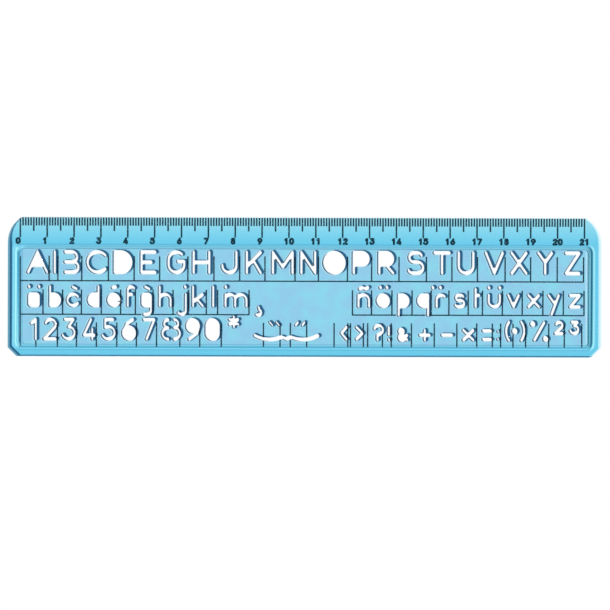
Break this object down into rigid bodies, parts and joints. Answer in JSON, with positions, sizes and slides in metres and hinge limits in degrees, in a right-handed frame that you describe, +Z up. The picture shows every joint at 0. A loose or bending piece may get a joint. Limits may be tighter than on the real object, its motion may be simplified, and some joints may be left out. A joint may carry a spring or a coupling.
{
  "type": "lettering stencil",
  "caption": "Transparent plastic lettering stencil with rows of capital, small letter, digit and sign slots and a printed centimetre scale.",
  "frame": {"origin": "middle of the plate's outline, on the flat underside", "axes": "+X along the scale from zero to 21, +Y towards the scale edge, +Z up through the plate to the side that is read"},
  "size_m": [0.2196, 0.0516, 0.0022],
  "materials": {
    "plastic": "clear polished, blue tint",
    "print": "dark screen-printed ink, seen through the plate"
  },
  "bodies": {
    "root": {"stencil_plate": "plastic", "millimetre_lines": "print", "half_centimetre_lines": "print", "centimetre_lines": "print", "scale_numerals": "print", "row_lines": "print", "cell_lines": "print"}
  },
  "joints": []
}
